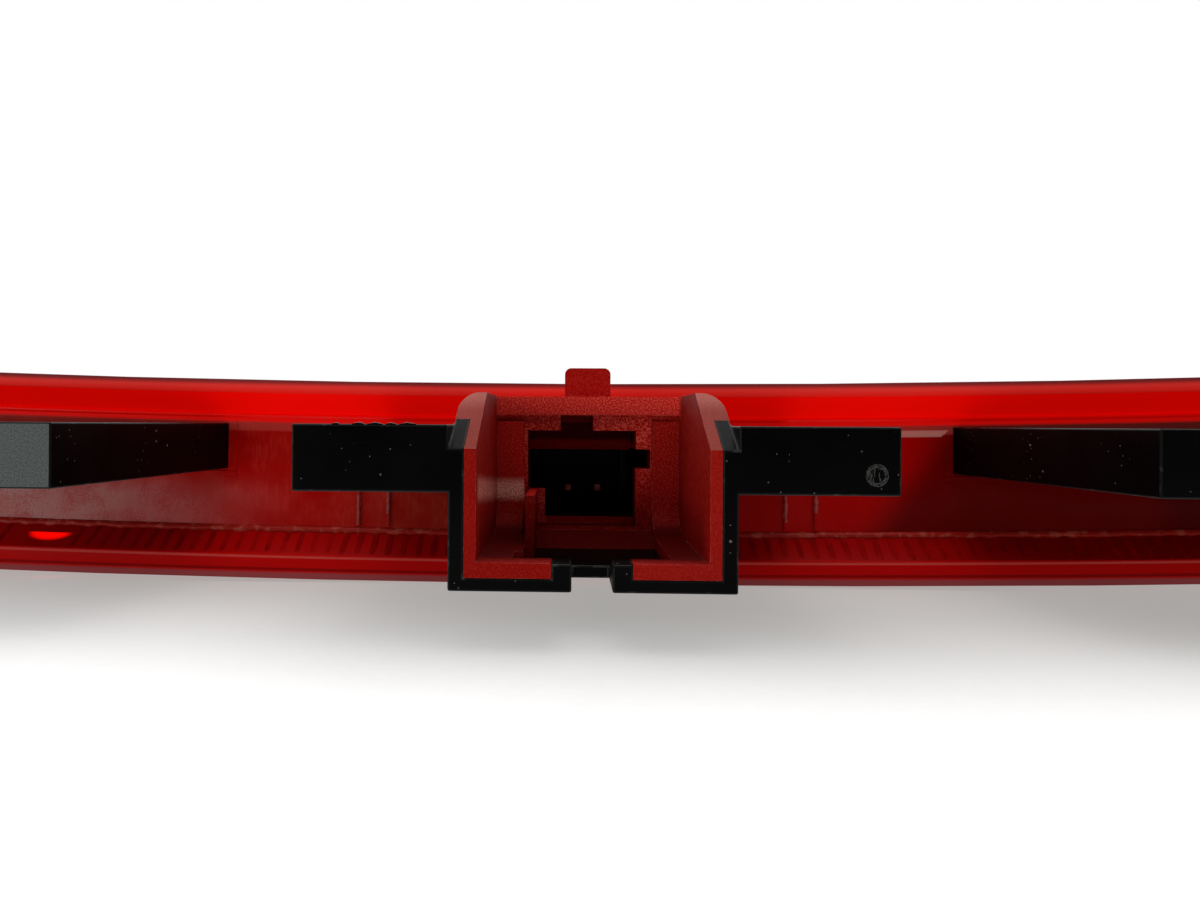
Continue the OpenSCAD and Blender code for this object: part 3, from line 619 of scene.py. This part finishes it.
def bead_ring(x, up, out_x, height):
    """Section of the bead: out along the wall and back to the plate's corner."""
    wander = ragged((x, up * 40, height), 0.8) + 0.6 * ragged((x, up * 40, height), 0.3)
    swell = (0.1 + 0.09 * wander) if up < 0 else 0.1
    spread = max(0.06, 0.22 + 0.2 * ragged((x, up * 90, height + 7), 0.9))
    if out_x:
        wall = [(x + out_x * 0.02, WELD_Y), (x, 0.02 - swell), (x + out_x * BEAD_OUT, 0.1 - swell),
                (x + out_x * BEAD_OUT, WELD_Y)]
        return [on_lamp(px, py, PLATE_MID + height) for px, py in wall]
    low_y = -spread if up < 0 else 0.0
    section = [(WELD_Y, PLATE_HALF - 0.02), (0.04 - swell, PLATE_HALF - 0.05),
               (low_y - 0.1, (PLATE_HALF + skirt_half(low_y)) / 2), (low_y, skirt_half(low_y) + 0.01)]
    return [on_lamp(x, y, PLATE_MID + up * half) for y, half in section]


def bead_run(up):
    steps = int(2 * BEAD_END / BEAD_STEP)
    return tube([bead_ring(-BEAD_END + BEAD_STEP * i, up, 0, 0) for i in range(steps + 1)])


def bead_side(side):
    steps = int(2 * PLATE_HALF / BEAD_STEP)
    return tube([bead_ring(side * (BEAD_END + 0.1), 0, side, -PLATE_HALF + 2 * PLATE_HALF * i / steps)
                 for i in range(steps + 1)])


bead_parts = joined([bead_run(-1), bead_run(1), bead_side(-1), bead_side(1)])
bead = piece("ragged_bead", *bead_parts, "weld_red", smooth=True)
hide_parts("weld_bead")

FLUTE_PITCH = 1.3
FLUTE_WIDTH = 0.72
FLUTE_DEPTH = 0.06
FLUTE_REAR = -2.3
FLUTE_FRONT = 0.15
FLUTES_END = 172


def flute(x):
    """A low rib that runs from front to back on the lower wall of the skirt."""
    rings = []
    for y, width in ((FLUTE_REAR, 0.6), (FLUTE_REAR + 0.25, 1), (FLUTE_FRONT, 1)):
        half = FLUTE_WIDTH * width / 2
        base = PLATE_MID - skirt_half(y) - 0.03
        top = base + 0.03 + FLUTE_DEPTH * width
        rings.append([on_lamp(x - half, y, base), on_lamp(x + half, y, base),
                      on_lamp(x + half * 0.5, y, top), on_lamp(x - half * 0.5, y, top)])
    return tube(rings)


flute_count = int(FLUTES_END / FLUTE_PITCH)
flute_sites = [i * FLUTE_PITCH for i in range(-flute_count, flute_count + 1)]
flutes = joined([flute(x) for x in flute_sites if abs(x - SPOT_X) > SPOT_CLEAR])
piece("skirt_flutes", *flutes, "clear_red_lens", look=flute_red())

# flash on the plate's ribs, and below it burrs on the left inner fin
FLASH_SITES = ((-19.9, -9.0, -6.4), (-17.3, -8.0, -4.2), (17.3, -8.4, -4.2), (19.9, -7.6, -4.4))


def flash(x, low, high):
    rings = []
    steps = 14
    for i in range(steps + 1):
        z = low + (high - low) * i / steps
        half = 0.17 + 0.08 * ragged((x, z, 3), 0.35)
        shift = 0.04 * ragged((x, z, 9), 0.5)
        rise = 0.36 + 0.05 * ragged((x, z, 5), 0.4)
        rings.append([on_lamp(x + shift - half, -0.15, z), on_lamp(x + shift + half, -0.15, z),
                      on_lamp(x + shift + half * 0.5, -rise, z), on_lamp(x + shift - half * 0.5, -rise, z)])
    return tube(rings)


pale_red = plain("whitened_red", (0.36, 0.055, 0.042), (0.26, 0.012, 0.008), 0.5, 0.15)
piece("rib_flash", *joined([flash(*site) for site in FLASH_SITES]), "red_housing", look=pale_red)


def burr(x, length):
    """A curl of flash along a top rear edge of the inner fin."""
    rings = []
    steps = 10
    for i in range(steps + 1):
        along = x + length * i / steps
        swell = math.sin(math.pi * i / steps) * (0.6 + 0.4 * ragged((along, 1, 2), 0.3))
        size = 0.02 + 0.13 * max(0.0, swell)
        rings.append([straight(along, REAR_Y + 0.02, -0.05), straight(along, REAR_Y + 0.3, -0.05),
                      straight(along, REAR_Y + 0.22, size), straight(along, REAR_Y + 0.04, size * 0.7)])
    return tube(rings)


BURRS = ((-14.2, 0.7), (-13.3, 0.9), (-12.2, 0.6), (-11.4, 1.0), (-15.4, 0.4))
piece("fin_burrs", *joined([burr(*site) for site in BURRS]), "black_plastic", smooth=True)

# low pads on the plate: an upright beside each outer fin's root and a level one below it
PAD_PROUD = 0.1
PAD_INNER = 30.85
UPRIGHT_OUTER = 31.63
LEVEL_OUTER = 60.8
UPRIGHT_TOP = -0.15
LEVEL_TOP = -4.5
LEVEL_LOW = -5.0


def strip(x0, x1, z0, z1, side):
    """Low pad on the plate, with sloping sides."""
    rings = []
    for y, inset in ((0.3, 0), (-PAD_PROUD * 0.5, 0), (-PAD_PROUD, 0.05)):
        near, far = side * (x0 + inset), side * (x1 - inset)
        low, high = z0 + inset, z1 - inset
        corners = ((near, low), (far, low), (far, high), (near, high))
        rings.append([on_lamp(x, y, z) for x, z in corners])
    return tube(rings)


pads = [strip(PAD_INNER, UPRIGHT_OUTER, LEVEL_TOP, UPRIGHT_TOP, side) for side in (-1, 1)]
pads += [strip(PAD_INNER, LEVEL_OUTER, LEVEL_LOW, LEVEL_TOP, side) for side in (-1, 1)]
piece("fin_root_pads", *joined(pads), "red_housing")

# the studs with their threads, and a clear cap in each diode's window
STUD_X = 125
STUD_REACH = 14
STUD_RADIUS = 2.5
NECK_RADIUS = 2.9
NECK_END = 4.7
HEAD_END = 7.0
HEAD_ACROSS = 7
THREAD_PITCH = 0.8
THREAD_DEPTH = 0.42
THREAD_RUNOUT = 1.2
TIP_CHAMFER = 0.7
TIP_LENGTH = 0.8
TIP_RADIUS = 0.4
STEPS_PER_PITCH = 8
TURN_STEPS = 48


def thread_radius(y, turn):
    """Radius of the threaded shank at depth y, for a part of a turn from 0 to 1."""
    phase = (y / THREAD_PITCH - turn) % 1
    groove = max(0.0, min(1.0, 1.3 - 2.6 * abs(phase - 0.5)))
    fade = min(1.0, max(0.0, -y / THREAD_RUNOUT))
    chamfer = STUD_RADIUS - TIP_CHAMFER + max(0.0, y + STUD_REACH) * TIP_CHAMFER / TIP_LENGTH
    return min(STUD_RADIUS - THREAD_DEPTH * groove * fade, chamfer)


def hexagon_radius(turn):
    """Radius of the hexagon head, with a corner at the top."""
    return HEAD_ACROSS / 2 / math.cos(math.radians((turn * 360) % 60 - 30))


def stud(middle):
    """Threaded shank, neck and hexagon head of one stud, as one closed tube."""
    def ring(y, radius):
        points = []
        for step in range(TURN_STEPS):
            turn = step / TURN_STEPS
            size = radius(turn)
            angle = math.tau * turn
            points.append(Vector((middle + size * math.sin(angle), y, size * math.cos(angle))) * MM)
        return points

    count = int(STUD_REACH / THREAD_PITCH * STEPS_PER_PITCH)
    rings = [ring(-STUD_REACH, lambda turn: TIP_RADIUS)]
    for i in range(count + 1):
        y = -STUD_REACH * (1 - i / count)
        rings.append(ring(y, lambda turn: thread_radius(y, turn)))
    rings.append(ring(0.0, lambda turn: NECK_RADIUS))
    rings.append(ring(NECK_END, lambda turn: NECK_RADIUS))
    rings.append(ring(NECK_END, hexagon_radius))
    rings.append(ring(HEAD_END - 0.3, hexagon_radius))
    rings.append(ring(HEAD_END, lambda turn: min(hexagon_radius(turn), HEAD_ACROSS / 2 - 0.05)))
    return tube(rings)


for side, x in (("left", -STUD_X), ("right", STUD_X)):
    threaded = piece("threaded_stud_" + side, *stud(x), "zinc_steel")
    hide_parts("stud_" + side)

LED_COUNT = 16
LED_PITCH = 20
LED_WINDOW_BACK = 7.12
LED_WINDOW_FRONT = 7.46
LED_WINDOW_RADIUS = 1.02
LED_SIDES = 20


def led_cap(x):
    """A shallow dome of clear resin in a diode's window."""
    rings = []
    for y, share in ((LED_WINDOW_BACK, 0.96), (LED_WINDOW_BACK + 0.2, 1.0), (LED_WINDOW_FRONT - 0.06, 0.8),
                     (LED_WINDOW_FRONT, 0.35)):
        size = LED_WINDOW_RADIUS * share
        turns = [math.tau * i / LED_SIDES for i in range(LED_SIDES)]
        rings.append([on_lamp(x + size * math.cos(turn), y, PLATE_MID + size * math.sin(turn))
                      for turn in turns])
    return tube(rings)


resin = plain("led_resin", (0.75, 0.06, 0.03), (0.65, 0.04, 0.02), 0.08, 0.4, Coat_Weight=0.6)
led_sites = [(i - (LED_COUNT - 1) / 2) * LED_PITCH for i in range(LED_COUNT)]
piece("led_caps", *joined([led_cap(x) for x in led_sites]), "led_package", look=resin, smooth=True)

# ---- camera, floor and light ------------------------------------------------

# the eye, level with the fins' tops, in millimetres and degrees
EYE_LEFT = 1.29
EYE_DISTANCE = 74.7
EYE_YAW = 2.03
EYE_ROLL = 0.35

# where the floor's shade round the lamp begins and ends, in millimetres
FLOOR_SHADED = 2
FLOOR_LIT = 40
FLOOR_BACK = 30
FLOOR_SIDE = 185
FLOOR_DROP = 0.1

camera = bpy.data.objects.new("camera", bpy.data.cameras.new("camera"))
scene.collection.objects.link(camera)
camera.data.sensor_width = 36
camera.data.lens = 25.5
camera.data.shift_x = 0.0494
camera.data.shift_y = -0.0208
camera.data.clip_start = 1 * MM
camera.location = (-EYE_LEFT * MM, SEAT_TO_BACK - EYE_DISTANCE * MM, 0)
facing = Matrix.Rotation(math.radians(EYE_YAW), 4, "Z") @ Matrix.Rotation(math.radians(90), 4, "X")
roll = Matrix.Rotation(math.radians(EYE_ROLL), 4, "Z")
camera.matrix_world = Matrix.Translation(camera.location) @ facing @ roll
scene.camera = camera
scene.view_settings.view_transform = "Standard"

floor_look = Look("paper", Roughness=0.95, Specular_IOR_Level=0.0)
# the paper is in shade close to the lamp and bright away from it
leftward = floor_look.math("MAXIMUM", floor_look.math("MULTIPLY", floor_look.axis("X"), -1.0), 0.0)
from_lamp = floor_look.math("SUBTRACT", floor_look.axis("Y"), floor_look.math("MULTIPLY", leftward, 0.25))
shade = floor_look.ramp(from_lamp, -FLOOR_LIT * MM, -FLOOR_SHADED * MM, 1.0, 0.0)
behind = floor_look.ramp(floor_look.axis("Y"), FLOOR_BACK * MM, 2 * FLOOR_BACK * MM)
sideways = floor_look.math("ABSOLUTE", floor_look.axis("X"))
beside = floor_look.ramp(sideways, FLOOR_SIDE * MM, 1.3 * FLOOR_SIDE * MM)
shade = floor_look.math("MAXIMUM", floor_look.math("MAXIMUM", shade, behind), beside)
tone = floor_look.mix(shade, (0.49, 0.475, 0.46), (0.93, 0.93, 0.93))
fibres = floor_look.noise(0.7, 3)
paper = floor_look.mix(floor_look.ramp(fibres, 0.3, 0.7, 0, 0.05), tone, (0.5, 0.5, 0.5))
floor_look.set("Base Color", floor_look.mix(0.5, paper, (0, 0, 0)))
floor_look.set("Emission Color", paper)
floor_look.set("Emission Strength", 0.78)
floor_look.set("Normal", floor_look.bump(fibres, 0.02, 0.3))
bpy.ops.mesh.primitive_grid_add(x_subdivisions=8, y_subdivisions=8, size=1)
floor = bpy.context.object
floor.name = "floor"
for vertex in floor.data.vertices:
    vertex.co.x *= 3
    vertex.co.y = -0.12 + (vertex.co.y + 0.5) * 2
    vertex.co.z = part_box("outer_lens")[0][2] - FLOOR_DROP * MM
floor.data.materials.append(floor_look.material)

world = bpy.data.worlds.new("studio")
scene.world = world
world.use_nodes = True
sky = world.node_tree
background = sky.nodes["Background"]
where = sky.nodes.new("ShaderNodeTexCoord")
lean_to = sky.nodes.new("ShaderNodeVectorMath")
lean_to.operation = "DOT_PRODUCT"
lean_to.inputs[1].default_value = Vector((0, 0.6, 0.8)).normalized()
sky.links.new(where.outputs["Generated"], lean_to.inputs[0])
glow = sky.nodes.new("ShaderNodeMapRange")
glow.interpolation_type = "SMOOTHSTEP"
for key, value in (("From Min", -0.2), ("From Max", 0.9), ("To Min", 0.012), ("To Max", 1.5)):
    glow.inputs[key].default_value = value
sky.links.new(lean_to.outputs["Value"], glow.inputs["Value"])
seen = sky.nodes.new("ShaderNodeLightPath")
pick = sky.nodes.new("ShaderNodeMix")
sky.links.new(seen.outputs["Is Camera Ray"], pick.inputs[0])
sky.links.new(glow.outputs[0], pick.inputs[2])
pick.inputs[3].default_value = 1.0
background.inputs[0].default_value = (1, 1, 1, 1)
sky.links.new(pick.outputs[0], background.inputs[1])


def softbox(name, place, size, power, target=(0, 0, 0)):
    light = bpy.data.objects.new(name, bpy.data.lights.new(name, "AREA"))
    scene.collection.objects.link(light)
    light.data.shape = "RECTANGLE"
    light.data.size, light.data.size_y = size
    light.data.energy = power
    light.location = place
    light.rotation_euler = (Vector(target) - Vector(place)).to_track_quat("-Z", "Y").to_euler()
    return light


softbox("key_light", (0.05, -0.22, 0.5), (0.4, 0.3), 0.55)
softbox("left_light", (-0.40, -0.37, 0.05), (0.26, 0.3), 0.9)
